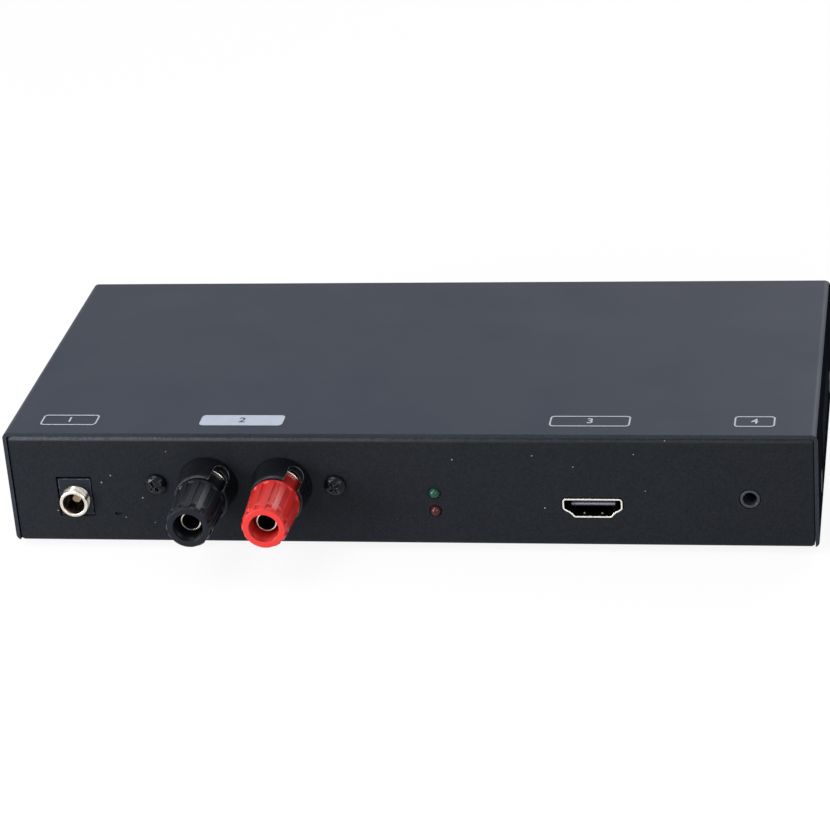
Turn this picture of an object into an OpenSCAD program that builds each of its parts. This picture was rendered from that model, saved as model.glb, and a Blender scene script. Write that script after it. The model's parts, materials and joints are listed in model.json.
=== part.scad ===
/* [Housing] */
// Width of the folded cover
case_w = 204; // [190:1:230]
// Depth of the folded cover
case_d = 93.2; // [86:0.2:110]
// Height of the folded cover
case_h = 30.6; // [29:0.2:36]
// Thickness of the sheet steel
sheet_t = 1; // [0.8:0.1:1.2]
// Outside radius of the cover's long bends
cover_bend_r = 1.6; // [1.3:0.1:2.4]
// Outside radius of the tray's upper bends
tray_bend_r = 1.5; // [1.3:0.1:2]
// Outside radius of the tray's lower bends
tray_low_r = 1.3; // [1.25:0.05:1.6]
// Gap between the cover and the tray inside it
cover_gap = 0.2; // [0.2:0.05:0.5]
// How far the front and rear panels sit behind the cover's edges
lip_inset = 0.4; // [0.2:0.1:1]
// How far the cover's sides end above the tray's underside
cover_lift = 0.4; // [0.1:0.1:0.8]
// Depth of the return flange at the top of each panel
flange_d = 7; // [5:0.5:9]
// Size of the snips at the lower corners of the panels
relief = 1.4; // [1:0.1:2]

/* [Fasteners] */
// Radius of the cover screws' shanks
cover_screw_r = 1.45; // [1.2:0.05:1.6]
// Radius of the cover screws' flat heads
cover_head_r = 2.9; // [2.6:0.1:3.2]
// Length of the cover screws
cover_screw_l = 6; // [5:0.5:8]
// Distance of the cover screws from the front and rear edges
cover_screw_in = 18; // [14:1:24]
// Height of the cover screws above the cover's lower edge
cover_screw_z = 9; // [8:0.5:11]
// Width of the tray's upright side tabs
tab_w = 14; // [11:1:18]
// Height of the side tabs above the tray's underside
tab_h = 14; // [13:0.5:17]

/* [Side vents] */
// Slots in the vent row on each side
vent_count = 9; // [5:1:10]
// Width of a vent slot
vent_w = 1.6; // [1.2:0.1:2]
// Length of a vent slot
vent_l = 11; // [8:0.5:13]
// Spacing of the vent slots
vent_pitch = 4; // [3:0.1:4.2]

/* [Feet] */
// Radius of a rubber foot
foot_r = 5; // [4:0.5:6.5]
// Height of a rubber foot
foot_h = 2; // [1.5:0.1:3]
// Distance of the feet from the sides of the case
foot_inset = 13; // [10:1:18]

/* [Circuit board] */
// Thickness of the board
board_t = 1.6; // [1:0.1:2]
// Height of the spacers under the board
board_rise = 5; // [3.5:0.1:5.5]
// Gap between the board and the tray's panels at the front
board_front_gap = 0.8; // [0.4:0.1:1.5]
// Free space behind the board
board_rear_gap = 12; // [8:1:16]
// Free space beside the board
board_side_gap = 5; // [3:0.5:8]
// Distance of the board's screws from its rear and side edges
board_hole_in = 4.5; // [4:0.5:6]
// Distance of the board's front screws from its front edge
board_hole_front = 19; // [18:0.5:24]
// Radius of the board screws' shanks
board_screw_r = 1.4; // [1.2:0.05:1.6]

/* [Power jack] */
// Distance of the power jack from the left side
dc_from_left = 17; // [15:0.5:20]
// Width of the jack's moulded body
dc_body_w = 8.4; // [8.2:0.1:9]
// Height of the jack's moulded body
dc_body_h = 10.1; // [9.6:0.1:11]
// Depth of the jack's moulded body
dc_body_d = 13.5; // [12:0.5:16]
// Height of the jack's axis above the board
dc_axis_h = 4.4; // [4.2:0.1:5]
// Outside radius of the nickel barrel
dc_barrel_r = 3.75; // [3.5:0.05:4]
// Bore radius of the nickel barrel
dc_bore_r = 2.8; // [2.7:0.05:2.95]
// How far the barrel stands out of the panel
dc_reach = 2.7; // [2:0.1:4]
// Radius of the centre pin
dc_pin_r = 1.02; // [0.9:0.02:1.2]

/* [Recessed button] */
// Distance of the button slot from the left side
reset_from_left = 27.7; // [26.5:0.1:32]
// Width of the button slot
reset_slot_w = 1.9; // [1.6:0.1:2.4]
// Height of the button slot
reset_slot_h = 0.95; // [0.9:0.05:1.2]
// Travel of the button
reset_travel = 0.25; // [0.2:0.01:0.3]

/* [Wire terminals] */
// Distance of the pair's centre from the left side
term_from_left = 61.4; // [60:0.5:66]
// Height of the posts in the case, as a share of the case's height
term_z_share = 0.53; // [0.5:0.005:0.56]
// Spacing of the two posts
post_pitch = 19; // [18:0.1:22]
// Spacing of the two fixing screws
term_screw_pitch = 46; // [42:0.5:50]
// Radius of the collar at the panel
collar_base_r = 7.5; // [7.2:0.1:8]
// Radius of the collar at its rim
collar_rim_r = 6.8; // [6.7:0.05:7.1]
// Inside radius of the collar
collar_bore_r = 5.75; // [5.6:0.05:5.9]
// How far the collar stands out of the panel
collar_reach = 8.8; // [8:0.1:10]
// Width of the wire slot in the collar
wire_slot_w = 4.6; // [3.5:0.1:5]
// Angle of the wire slot, counter-clockwise from the right
wire_slot_angle = 46; // [30:1:60]
// Radius of the threaded stem
stem_r = 2.65; // [2.55:0.05:2.7]
// Radius of the plug bore in the stem
plug_r = 2; // [1.9:0.01:2.05]
// Depth of the plug bore in the stem
plug_l = 14; // [12:0.5:15]
// Radius of the wire hole through the stem
wire_hole_r = 1.2; // [0.9:0.05:1.4]
// Radius of the stem's rear thread
tail_r = 1.95; // [1.7:0.05:2.1]

/* [Knobs] */
// How far the knobs reach in front of the cover
knob_reach = 23; // [21:0.5:26]
// Radius of the knob at its rear shoulder
knob_rear_r = 6.3; // [6.1:0.05:6.6]
// Radius of the knob where the ribs end
knob_front_r = 5.75; // [5.6:0.05:6]
// Radius of the knob's flat front ring
knob_face_r = 5.2; // [4.8:0.05:5.4]
// Length of the bevel behind the front ring
knob_bevel_l = 0.8; // [0.6:0.1:1.6]
// Bore radius at the knob's front
knob_bore_r = 3.7; // [3.4:0.05:3.9]
// Radius of the knob's neck inside the collar
neck_r = 5.05; // [4.9:0.05:5.15]
// Grooves around the knob
groove_count = 12; // [8:1:14]
// Width of a groove
groove_w = 1.4; // [0.9:0.05:1.6]
// Depth of a groove
groove_depth = 0.45; // [0.35:0.05:0.7]
// Thread pitch of the stem
thread_pitch = 0.8; // [0.7:0.05:1]

/* [Lamps] */
// Distance of the lamps to the right of the centre
led_x = 7.3; // [5:0.1:12]
// Height of the lower lamp above the board
led_low_h = 1.95; // [1.9:0.05:2.3]
// Spacing of the two lamps
led_pitch = 4.9; // [4.4:0.1:5.4]
// Radius of a lamp
led_r = 1.45; // [1.4:0.05:1.6]
// How far the domes stand out of the panel
led_reach = 1.1; // [0.8:0.1:1.6]

/* [Video socket] */
// Distance of the socket from the right side
video_from_right = 55.4; // [50:0.1:60]
// Outside width of the socket's shell
shell_w = 14.8; // [14.7:0.05:15.3]
// Outside height of the socket's shell
shell_h = 5.15; // [5.1:0.05:5.6]
// Thickness of the shell's sheet
shell_t = 0.35; // [0.3:0.05:0.45]
// Depth of the shell
shell_d = 12; // [11:0.5:14]
// How far the shell stands out of the panel
shell_reach = 0.2; // [0.1:0.1:0.9]
// Width of the tongue
tongue_w = 10.8; // [10.4:0.1:11.2]
// Thickness of the tongue
tongue_t = 0.8; // [0.75:0.05:0.9]

/* [Small round jack] */
// Distance of the jack from the right side
ir_from_right = 16.7; // [14:0.1:20]
// Height of the jack's axis above the board
ir_axis_h = 5.8; // [5.5:0.1:6.5]
// Radius of the jack's nose
ir_nose_r = 2.4; // [2.3:0.05:2.6]
// Bore radius of the jack
ir_bore_r = 1.78; // [1.76:0.01:1.8]
// Depth of the jack's bore
ir_bore_l = 11; // [10:0.5:12]

/* [Hidden] */
$fn = 48;
// One overrun for all cuts
over = 1;
// Sliding clearance of a piece in its seat
seat_gap = 0.05;
// Clearance round what passes through the panel
panel_gap = 0.25;

// Height of the cover's lower edge above the ground
base_z = foot_h + cover_lift;
// The case sits so that the origin is under the middle of the whole part
case_front = (knob_reach - case_d) / 2;
panel_y = case_front + lip_inset;
rear_y = case_front + case_d - lip_inset;
tray_w = case_w - 2 * (sheet_t + cover_gap);
tray_d = rear_y - panel_y;
tray_h = case_h - sheet_t - cover_gap + cover_lift;
board_top = foot_h + sheet_t + board_rise + board_t;
board_y = panel_y + sheet_t + board_front_gap;
board_w = tray_w - 2 * board_side_gap;
board_d = tray_d - 2 * sheet_t - board_front_gap - board_rear_gap;

dc_x = dc_from_left - case_w / 2;
reset_x = reset_from_left - case_w / 2;
term_x = term_from_left - case_w / 2;
video_x = case_w / 2 - video_from_right;
ir_x = case_w / 2 - ir_from_right;
post_xs = [term_x - post_pitch / 2, term_x + post_pitch / 2];
term_height = base_z + term_z_share * case_h;

// Power jack
dc_recess = 0.3;
dc_side_gap = 0.4;
dc_top_gap = 0.75;
dc_barrel_l = 11;
dc_pin_recess = 3.2;
dc_foot_w = 1.6;
dc_foot_t = 0.5;
dc_foot_l = 2.6;
dc_leaf_w = 1.7;
dc_leaf_t = 0.3;
dc_leaf_l = 8;
dc_leaf_off = 2.3;
dc_leaf_angle = 60;

// Button
reset_w = 4.7;
reset_h = 1.7;
reset_d = 3.5;
reset_tip_w = 1.5;
reset_tip_h = 0.6;
reset_recess = 0.5;
reset_lift = 0.56;
reset_stem_l = 2.6;

// Terminal block
term_plate_w = 54;
term_plate_share = 0.52;
term_plate_h = term_plate_share * case_h;
term_plate_t = 3;
term_plate_r = 3;
collar_floor = 0.9;
wire_slot_end = 1.5;
stem_flange_r = 4.4;
stem_flange_t = 0.8;
stem_front = 19.8;
stem_chamfer = 0.15;
tail_l = 12.5;
wire_hole_s = 3.4;
term_screw_r = 1.45;
term_screw_l = 8;
term_head_r = 2.75;
term_head_h = 1.9;
term_nut_af = 5.5;
term_nut_h = 2.4;
stem_nut_af = 7;
stem_nut_h = 2.4;
lug_t = 0.5;
lug_r = 3.4;
lug_w = 2.8;
lug_clear = 5.2;
lug_l = case_h - term_z_share * case_h - lug_clear;
lug_hole_r = 0.9;
behind_plate = -(sheet_t + seat_gap + term_plate_t);

// Knobs and what turns with them
ring_t = 0.6;
ring_lift = 0.1;
ring_side_gap = 0.25;
ring_r = collar_bore_r - ring_side_gap;
running_gap = 0.05;
knob_gap = 0.4;
knob_round = 0.5;
knob_face_s = knob_reach + lip_inset;
neck_s = collar_floor + stem_flange_t + ring_lift + ring_t;
shoulder_s = collar_reach + knob_gap;
insert_r = 4.2;
insert_l = 7.6;
knob_lip = 1;
insert_s = 7.6;
knurl_count = 18;
knurl_depth = 0.25;
groove_margin = 1;
flange_l = 2.4;
notch_w = 1.5;
notch_depth = 0.45;

// Lamps
led_gap = 0.12;
led_rim_r = 1.85;
led_rim_t = 1;
led_body_l = 4.2;
lead_t = 0.5;
led_lead_run = 2;
holder_w = 5.6;
holder_d = 5;
holder_front = 0.1;
holder_top = 2.6;

// Video socket
shell_drop = 0.5;
shell_corner_r = 0.85;
shell_side_share = 0.55;
shell_step_shares = [[0.875, 0.68], [0.795, 0.735], [0.69, 0.87], [0.63, 1]];
tongue_recess = 1.8;
tongue_below = 1.65;
dimple_r = 0.6;
dimple_pitch = 4.4;
dimple_rise = 0.35;
dimple_back = 1.9;
shell_leg_w = 1.4;
shell_leg_l = 2.4;
contact_w = 0.3;
contact_t = 0.15;
contact_pitch = 1;
contact_top = 10;
contact_bottom = 9;
contact_tail = 1.4;

// Small round jack
ir_w = 6.6;
ir_h = 9;
ir_d = 12.4;
ir_recess = 0;
ir_hole_gap = 0.3;
ir_tab_w = 1.2;
ir_tab_t = 0.4;
ir_tab_l = 2.4;

// Board parts, placed from the board's centre
chip_w = 14;
chip_t = 1.4;
chip_x = 38;
chip_y = 6;
chip_pins = 14;
modem_pins = 10;
memory_pins = 4;
pad_t = 0.5;
sink_w = 22;
sink_base = 2;
sink_h = 8;
sink_fins = 8;
sink_fin_t = 1;
modem_w = 10;
modem_t = 1;
modem_x = -4;
modem_y = 12;
memory_w = 5;
memory_d = 4;
memory_t = 1.5;
memory_x = 60;
pin_w = 0.35;
pin_t = 0.2;
pin_reach = 1;
crystal_w = 11;
crystal_d = 4.6;
crystal_h = 3.5;
crystal_x = 14;
core_w = 13;
core_d = 11;
core_h = 9;
core_x = 42;
core_y = 14;
core_leg = 2.6;
bobbin_wall = 1;
cap_r = 4;
cap_h = 11.5;
cap_pitch = 10;
cap_y = 7;
cap_x = 14;
cap_sleeve_lip = 0.4;
coil_w = 7.3;
coil_h = 4.2;
coil_core_r = 2.9;
coil_x = 30;
coil_y = -6;
reg_w = 6.6;
reg_d = 6;
reg_t = 2.3;
reg_x = 41.5;
reg_y = -10;

// Leads from the posts to the board, points chosen by hand from each end
header_w = 7.4;
header_d = 5.8;
header_h = 4;
header_wall = 0.6;
header_x = term_x;
header_from_panel = 32;
header_y = panel_y + header_from_panel;
plug_w = 5.6;
plug_d = 4.2;
plug_h = 7;
plug_lift = 1;
plug_pitch = 2.5;
lead_r = 0.7;
lead_sides = 8;
lead_rings = 18;
lead_up = 7.4;
lead_run = 12;
lead_fall = 8;

// A rectangle with round corners, centred, with true arcs
module round_rect(w, h, r) {
    square([w - 2 * r, h], center = true);
    square([w, h - 2 * r], center = true);
    for (x = [-1, 1], y = [-1, 1])
        translate([x * (w / 2 - r), y * (h / 2 - r)]) circle(r);
}

// A centred rectangle with one radius at its lower corners and another at its upper ones
module folded_rect(w, h, low_r, high_r) {
    translate([-w / 2, -h / 2 + low_r]) square([w, h - low_r - high_r]);
    translate([-w / 2 + low_r, -h / 2]) square([w - 2 * low_r, h / 2]);
    translate([-w / 2 + high_r, 0]) square([w - 2 * high_r, h / 2]);
    for (x = [-1, 1]) {
        translate([x * (w / 2 - low_r), -h / 2 + low_r]) circle(low_r);
        translate([x * (w / 2 - high_r), h / 2 - high_r]) circle(high_r);
    }
}

// A slot with round ends, standing upright
module slot_2d(w, h) {
    square([w, h - w], center = true);
    for (y = [-1, 1]) translate([0, y * (h - w) / 2]) circle(w / 2);
}

// Puts a piece on the front panel, local Z pointing out of it
module on_panel(x, z, s = 0) {
    translate([x, panel_y - s, z]) rotate([90, 0, 0]) children();
}

// Puts a piece on the board, from the board's centre
module on_board(x, y) {
    translate([x, board_y + board_d / 2 + y, board_top]) children();
}

// Puts a piece on the board, from the left end of the board
module on_board_left(x, y) {
    on_board(x - board_w / 2, y) children();
}

module at_board_corners() {
    for (x = [-1, 1], y = [board_hole_front, board_d - board_hole_in])
        translate([x * (board_w / 2 - board_hole_in), board_y + y]) children();
}

// Each cover screw's place, local Z pointing out of the case
module at_cover_screws() {
    for (side = [-1, 1], y = [case_front + cover_screw_in, case_front + case_d - cover_screw_in])
        translate([side * case_w / 2, y, base_z + cover_screw_z]) rotate([0, side * 90, 0]) children();
}

// The video socket's outline, one step larger or smaller than the shell
module video_outline(grow = 0) {
    w = shell_w / 2;
    right = [[w, 0], [w, -shell_side_share * shell_h],
        for (p = shell_step_shares) [p[0] * w, -p[1] * shell_h]];
    left = [for (i = [len(right) - 1:-1:0]) [-right[i][0], right[i][1]]];
    offset(delta = grow)
        offset(r = shell_corner_r) offset(delta = -shell_corner_r)
            translate([0, shell_h]) polygon(concat(right, left));
}

module base_tray() {
    color("#26282c") difference() {
        union() {
            // Floor, panels and return flanges are one folded sheet
            translate([0, 0, foot_h]) rotate([90, 0, 90])
                linear_extrude(tray_w, center = true)
                    translate([(panel_y + rear_y) / 2, tray_h / 2]) difference() {
                        folded_rect(tray_d, tray_h, tray_low_r, tray_bend_r);
                        folded_rect(tray_d - 2 * sheet_t, tray_h - 2 * sheet_t, tray_low_r - sheet_t,
                            tray_bend_r - sheet_t);
                        translate([0, tray_h / 2]) square([tray_d - 2 * flange_d, 2 * tray_bend_r], center = true);
                    }
            for (side = [-1, 1], y = [case_front + cover_screw_in, case_front + case_d - cover_screw_in])
                translate([side * (tray_w / 2 - sheet_t / 2), y, foot_h + tab_h / 2])
                    cube([sheet_t, tab_w, tab_h], center = true);
        }
        // Snips at the lower corners
        for (side = [-1, 1], y = [panel_y, rear_y])
            translate([side * tray_w / 2, y, foot_h]) rotate([90, 0, 0]) rotate(45)
                cube([relief, relief, 4 * tray_bend_r], center = true);
        at_cover_screws() translate([0, 0, -cover_screw_l - over])
            cylinder(r = cover_screw_r + seat_gap, h = cover_screw_l + over);
        panel_cutouts();
    }
}

// Everything that is punched through the front panel
module panel_cutouts() {
    deep = sheet_t + 2 * over;
    on_panel(dc_x, board_top - panel_gap, over - deep) linear_extrude(deep)
        translate([-dc_body_w / 2 - dc_side_gap, 0])
            square([dc_body_w + 2 * dc_side_gap, dc_body_h + dc_top_gap + panel_gap]);
    on_panel(reset_x, board_top + reset_lift, over - deep) linear_extrude(deep)
        rotate(90) slot_2d(reset_slot_h, reset_slot_w);
    for (x = post_xs) on_panel(x, term_height, over - deep) cylinder(r = collar_base_r + seat_gap, h = deep);
    for (side = [-1, 1])
        on_panel(term_x + side * term_screw_pitch / 2, term_height, over - deep)
            cylinder(r = term_screw_r + panel_gap, h = deep);
    for (i = [0, 1]) on_panel(led_x, led_height(i), over - deep) cylinder(r = led_r + led_gap, h = deep);
    on_panel(video_x, board_top + shell_drop, over - deep) linear_extrude(deep) video_outline(panel_gap);
    on_panel(ir_x, board_top + ir_axis_h, over - deep) cylinder(r = ir_nose_r + ir_hole_gap, h = deep);
}

module top_cover() {
    color("#3c3f49") difference() {
        translate([0, case_front + case_d, base_z]) rotate([90, 0, 0]) linear_extrude(case_d)
            difference() {
                translate([0, case_h / 2]) round_rect(case_w, case_h, cover_bend_r);
                translate([0, (case_h - sheet_t) / 2 - over])
                    round_rect(case_w - 2 * sheet_t, case_h - sheet_t + 2 * over, cover_bend_r - sheet_t);
                // The bottom is open, with square edges
                translate([0, cover_bend_r / 2 - over])
                    square([case_w - 2 * sheet_t, cover_bend_r + 2 * over], center = true);
            }
        at_cover_screws() {
            translate([0, 0, -sheet_t - over]) cylinder(r = cover_screw_r + panel_gap, h = sheet_t + 2 * over);
            translate([0, 0, -sheet_t]) cylinder(r1 = cover_screw_r + seat_gap, r2 = cover_head_r + seat_gap, h = sheet_t);
        }
        for (side = [-1, 1], i = [0:vent_count - 1])
            translate([side * case_w / 2, case_front + case_d / 2 + (i - (vent_count - 1) / 2) * vent_pitch,
                base_z + case_h / 2])
                rotate([0, 90, 0]) linear_extrude(2 * sheet_t + over, center = true)
                    rotate(90) slot_2d(vent_w, vent_l);
    }
}

module cover_screws() {
    color("#2b2d31") at_cover_screws() difference() {
        union() {
            translate([0, 0, -sheet_t]) cylinder(r1 = cover_screw_r, r2 = cover_head_r, h = sheet_t);
            translate([0, 0, -cover_screw_l]) cylinder(r = cover_screw_r, h = cover_screw_l - sheet_t);
        }
        cross_recess(cover_head_r, sheet_t);
    }
}

// A cross recess cut into a screw head from its top at the local origin
module cross_recess(head_r, deep) {
    for (a = [45, 135]) rotate(a) cube([head_r * 1.1, head_r * 0.28, deep], center = true);
}

module rubber_feet() {
    color("#1c1c1e")
        for (x = [-1, 1], y = [case_front + foot_inset, case_front + case_d - foot_inset])
            translate([x * (case_w / 2 - foot_inset), y]) rotate_extrude()
                polygon([[0, 0], [foot_r * 0.9, 0], [foot_r, foot_h * 0.25], [foot_r, foot_h], [0, foot_h]]);
}

module main_board() {
    color("#1d5c38") difference() {
        translate([0, board_y + board_d / 2, board_top - board_t])
            linear_extrude(board_t) square([board_w, board_d], center = true);
        at_board_corners() translate([0, 0, board_top - board_t - over])
            cylinder(r = board_screw_r + panel_gap, h = board_t + 2 * over);
        video_legs(seat_gap);
        ir_legs(seat_gap);
    }
}

module board_spacers() {
    color("#c9cbcf") at_board_corners() translate([0, 0, foot_h + sheet_t]) difference() {
        cylinder(r = 2 * board_screw_r + panel_gap, h = board_rise, $fn = 6);
        translate([0, 0, board_rise / 4]) cylinder(r = board_screw_r + seat_gap, h = board_rise);
    }
}

module board_screws() {
    color("#b9bbc0") at_board_corners() translate([0, 0, board_top]) difference() {
        union() {
            rotate_extrude() polygon([[0, 0], [2 * board_screw_r, 0], [1.9 * board_screw_r, board_screw_r / 2],
                [1.3 * board_screw_r, board_screw_r], [0, 1.15 * board_screw_r]]);
            translate([0, 0, -board_t - board_rise / 2]) cylinder(r = board_screw_r, h = board_t + board_rise / 2);
        }
        translate([0, 0, 1.15 * board_screw_r]) cross_recess(2 * board_screw_r, board_screw_r);
    }
}

// Power jack
module dc_jack_body() {
    axis_z = board_top + dc_axis_h;
    color("#17181a") difference() {
        translate([dc_x - dc_body_w / 2, panel_y + dc_recess, board_top])
            cube([dc_body_w, dc_body_d, dc_body_h]);
        on_panel(dc_x, axis_z, dc_reach - dc_barrel_l - seat_gap)
            cylinder(r = dc_barrel_r + seat_gap, h = dc_barrel_l + over);
        on_panel(dc_x, axis_z, -dc_recess - dc_body_d - over)
            cylinder(r = dc_pin_r + seat_gap, h = dc_body_d);
        on_panel(dc_x, axis_z) dc_leaf(seat_gap);
        // Steps in the moulding's shoulders, behind the panel
        for (side = [-1, 1])
            translate([dc_x + side * dc_body_w / 2, panel_y + dc_recess + dc_body_d * 0.75, board_top + dc_body_h])
                cube([dc_body_w / 3, dc_body_d, dc_body_h / 3], center = true);
    }
}

module dc_leaf(grow) {
    rotate(dc_leaf_angle)
        translate([dc_leaf_off - dc_leaf_t / 2 - grow, -dc_leaf_w / 2 - grow, dc_reach - dc_barrel_l + dc_leaf_l - 1.4 * dc_leaf_l])
            cube([dc_leaf_t + 2 * grow, dc_leaf_w + 2 * grow, dc_leaf_l + grow]);
}

module dc_jack_barrel() {
    color("#cfc8bd") on_panel(dc_x, board_top + dc_axis_h, dc_reach - dc_barrel_l) difference() {
        cylinder(r = dc_barrel_r, h = dc_barrel_l);
        translate([0, 0, -over]) cylinder(r = dc_bore_r, h = dc_barrel_l + 2 * over);
    }
}

module dc_jack_pin() {
    color("#c8b98f") {
        on_panel(dc_x, board_top + dc_axis_h, -dc_recess - dc_body_d)
            cylinder(r = dc_pin_r, h = dc_body_d + dc_recess + dc_reach - dc_pin_recess);
    }
}

module dc_jack_spring() {
    color("#b98a55") on_panel(dc_x, board_top + dc_axis_h) dc_leaf(0);
}

// Recessed button
module reset_switch() {
    front = sheet_t + board_front_gap;
    color("#d6d6d2") difference() {
        translate([reset_x - reset_w / 2, panel_y + front, board_top]) cube([reset_w, reset_d, reset_h]);
        on_panel(reset_x, board_top + reset_lift, -front - reset_stem_l)
            linear_extrude(reset_stem_l + over)
                square([reset_tip_w + 4 * seat_gap, reset_tip_h + 4 * seat_gap], center = true);
    }
}

module reset_plunger() {
    color("#121214") on_panel(reset_x, board_top + reset_lift, -reset_recess - reset_stem_l)
        linear_extrude(reset_stem_l) square([reset_tip_w, reset_tip_h], center = true);
}

// Wire terminals
module terminal_block() {
    color("#141517") {
        difference() {
            union() {
                on_panel(term_x, term_height, behind_plate)
                    linear_extrude(term_plate_t) round_rect(term_plate_w, term_plate_h, term_plate_r);
                for (x = post_xs) on_panel(x, term_height, behind_plate + term_plate_t) collar();
            }
            for (x = post_xs) on_panel(x, term_height, behind_plate - over)
                cylinder(r = tail_r + seat_gap, h = term_plate_t + collar_reach + over);
            for (side = [-1, 1])
                on_panel(term_x + side * term_screw_pitch / 2, term_height, behind_plate - over)
                    cylinder(r = term_screw_r + seat_gap, h = term_plate_t + 2 * over);
        }
    }
}

// One hollow collar, from the plate's front face, with its wire slot open to the rim
module collar() {
    through = sheet_t + seat_gap;
    rim = through + collar_reach;
    edge = (collar_rim_r - collar_bore_r) / 3;
    difference() {
        rotate_extrude() polygon([[0, 0], [collar_base_r, 0], [collar_base_r, through],
            [collar_rim_r, rim - edge], [collar_rim_r - edge, rim], [collar_bore_r, rim],
            [collar_bore_r, through + collar_floor], [0, through + collar_floor]]);
        rotate(wire_slot_angle) translate([0, 0, through + wire_slot_end + wire_slot_w / 2]) {
            rotate([0, 90, 0]) cylinder(r = wire_slot_w / 2, h = collar_base_r + over);
            translate([0, -wire_slot_w / 2, 0]) cube([collar_base_r + over, wire_slot_w, collar_reach]);
        }
    }
}

module terminal_screws() {
    color("#1f2023")
        for (side = [-1, 1])
            on_panel(term_x + side * term_screw_pitch / 2, term_height) difference() {
                union() {
                    rotate_extrude() polygon([[0, 0], [term_head_r, 0], [term_head_r * 0.97, term_head_h * 0.45],
                        [term_head_r * 0.75, term_head_h * 0.85], [term_head_r * 0.4, term_head_h],
                        [0, term_head_h]]);
                    translate([0, 0, -term_screw_l]) cylinder(r = term_screw_r, h = term_screw_l);
                }
                translate([0, 0, term_head_h]) cross_recess(term_head_r, 1.3 * term_head_h);
            }
}

// A hex nut with its lower face at the local origin
module hex_nut(af, h, bore_r) {
    difference() {
        cylinder(r = af / 2 / cos(30), h = h, $fn = 6);
        translate([0, 0, -over]) cylinder(r = bore_r, h = h + 2 * over);
    }
}

module terminal_nuts() {
    color("#c2c4c8")
        for (side = [-1, 1])
            on_panel(term_x + side * term_screw_pitch / 2, term_height, behind_plate - term_nut_h)
                hex_nut(term_nut_af, term_nut_h, term_screw_r + seat_gap);
}

// A stem with its flange on the collar's floor, a wire hole and a plug bore
module stem(x) {
    tip = stem_r - stem_chamfer;
    color("#d8d2c6") on_panel(x, term_height) difference() {
        rotate_extrude() polygon([[0, -tail_l], [tail_r, -tail_l], [tail_r, collar_floor],
            [stem_flange_r, collar_floor], [stem_flange_r, collar_floor + stem_flange_t],
            [stem_r, collar_floor + stem_flange_t], [stem_r, stem_front - stem_chamfer],
            [tip, stem_front], [0, stem_front]]);
        translate([0, 0, stem_front - plug_l]) cylinder(r = plug_r, h = plug_l + over);
        translate([0, 0, wire_hole_s]) rotate(wire_slot_angle) rotate([0, 90, 0])
            cylinder(r = wire_hole_r, h = 4 * stem_r, center = true);
    }
}

module stem_black() {
    stem(post_xs[0]);
}

module stem_red() {
    stem(post_xs[1]);
}

module stem_nuts() {
    color("#cfc6a8")
        for (x = post_xs, s = [stem_nut_h, 2 * stem_nut_h + lug_t])
            on_panel(x, term_height, behind_plate - s) hex_nut(stem_nut_af, stem_nut_h, tail_r + seat_gap);
}

module solder_lugs() {
    color("#d5d7da")
        for (x = post_xs) on_panel(x, term_height, behind_plate - stem_nut_h - lug_t)
            linear_extrude(lug_t) difference() {
                union() {
                    circle(lug_r);
                    translate([-lug_w / 2, 0]) square([lug_w, lug_l]);
                }
                circle(tail_r + seat_gap);
                translate([0, lug_up()]) circle(lug_hole_r);
            }
}

// Clamp ring, brass insert and knob of one post
module clamp_ring(x) {
    color("#d9dadd") on_panel(x, term_height, neck_s - ring_t) difference() {
        cylinder(r = ring_r, h = ring_t);
        translate([0, 0, -over]) cylinder(r = stem_r + panel_gap, h = ring_t + 2 * over);
    }
}

module clamp_ring_black() {
    clamp_ring(post_xs[0]);
}

module clamp_ring_red() {
    clamp_ring(post_xs[1]);
}

module knob_insert(x) {
    color("#c9a85e") on_panel(x, term_height, insert_s) difference() {
        cylinder(r = insert_r, h = insert_l);
        translate([0, 0, -over]) cylinder(r = stem_r + running_gap, h = insert_l + 2 * over);
        for (i = [0:knurl_count - 1]) rotate(i * 360 / knurl_count)
            translate([insert_r, 0, insert_l / 2]) rotate(45)
                cube([knurl_depth, knurl_depth, insert_l + over], center = true);
    }
}

module knob_insert_black() {
    knob_insert(post_xs[0]);
}

module knob_insert_red() {
    knob_insert(post_xs[1]);
}

// The knob is one revolved moulding with grooves that stop short of the notched front flange
module knob(x) {
    flange_s = knob_face_s - flange_l;
    on_panel(x, term_height) difference() {
        rotate_extrude() polygon([[stem_r + panel_gap, neck_s], [neck_r, neck_s], [neck_r, shoulder_s],
            [knob_rear_r - knob_round, shoulder_s], [knob_rear_r, shoulder_s + knob_round],
            [knob_front_r, flange_s], [knob_front_r, knob_face_s - knob_bevel_l],
            [knob_face_r, knob_face_s], [knob_bore_r, knob_face_s],
            [knob_bore_r, insert_s + insert_l + knob_lip], [stem_r + panel_gap, insert_s + insert_l + knob_lip],
            [stem_r + panel_gap, insert_s + insert_l], [insert_r, insert_s + insert_l], [insert_r, insert_s],
            [stem_r + panel_gap, insert_s]]);
        for (i = [0:groove_count - 1]) rotate((i + 0.5) * 360 / groove_count) {
            translate([knob_front_r - groove_depth, -groove_w / 2, shoulder_s + groove_margin])
                cube([knob_rear_r, groove_w, flange_s - shoulder_s - 2 * groove_margin]);
            translate([knob_front_r - notch_depth, -notch_w / 2, flange_s])
                cube([knob_rear_r, notch_w, flange_l + over]);
        }
    }
}

module knob_black() {
    color("#1b1c1f") knob(post_xs[0]);
}

module knob_red() {
    color("#d8322f") knob(post_xs[1]);
}

// Height of the lead's solder point above the stem's axis
function lug_up() = lug_l - 2 * lug_hole_r;

// Point on a cubic curve through four control points
function curve_at(p, t) = pow(1 - t, 3) * p[0] + 3 * t * pow(1 - t, 2) * p[1]
    + 3 * t * t * (1 - t) * p[2] + pow(t, 3) * p[3];

function unit(v) = v / norm(v);

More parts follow.
